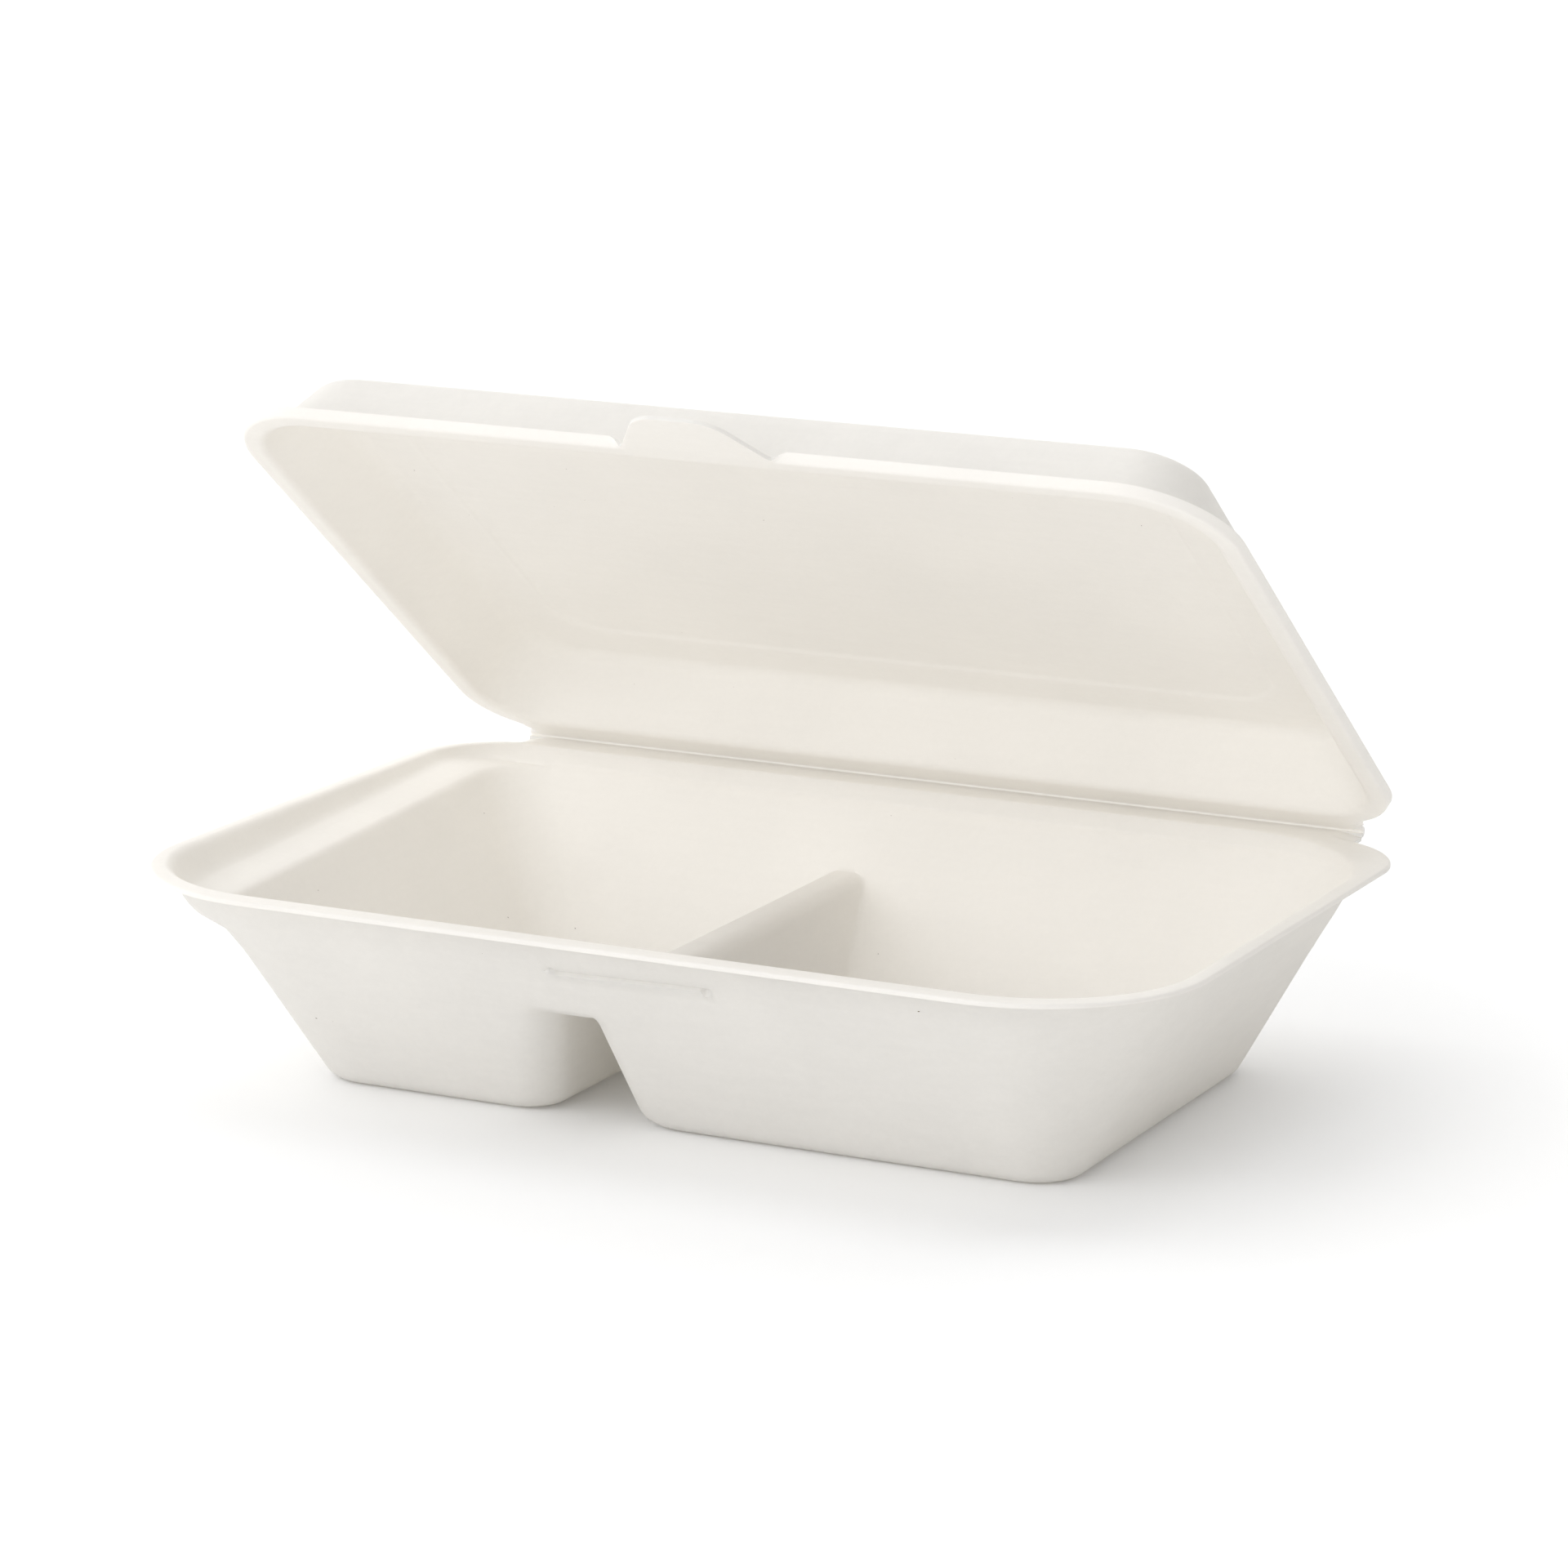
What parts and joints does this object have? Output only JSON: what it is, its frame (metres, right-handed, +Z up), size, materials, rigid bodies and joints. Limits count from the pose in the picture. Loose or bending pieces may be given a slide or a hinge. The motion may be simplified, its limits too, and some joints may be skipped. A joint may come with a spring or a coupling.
{
  "type": "clamshell food container",
  "caption": "Moulded sugarcane fibre clamshell food container: a tray with a divider between its compartments and a hinged domed lid with a locking tongue.",
  "frame": {"origin": "middle of the box round the open container, on the resting plane", "axes": "+X along the hinge towards the large compartment, -Y towards the front with the lock slit, +Z up"},
  "size_m": [0.248, 0.179, 0.1547],
  "materials": {
    "moulded_fibre": "matt uncoated moulded sugarcane fibre, warm off-white"
  },
  "bodies": {
    "tray": {"tray": "moulded_fibre"},
    "lid": {"lid": "moulded_fibre"}
  },
  "joints": [
    {"name": "lid_hinge", "type": "hinge", "parent": "tray", "child": "lid", "pos_m": [0, 0.08904, 0.0475], "axis": [-1, 0, 0], "range_deg": [-36.2, 143.5]}
  ]
}
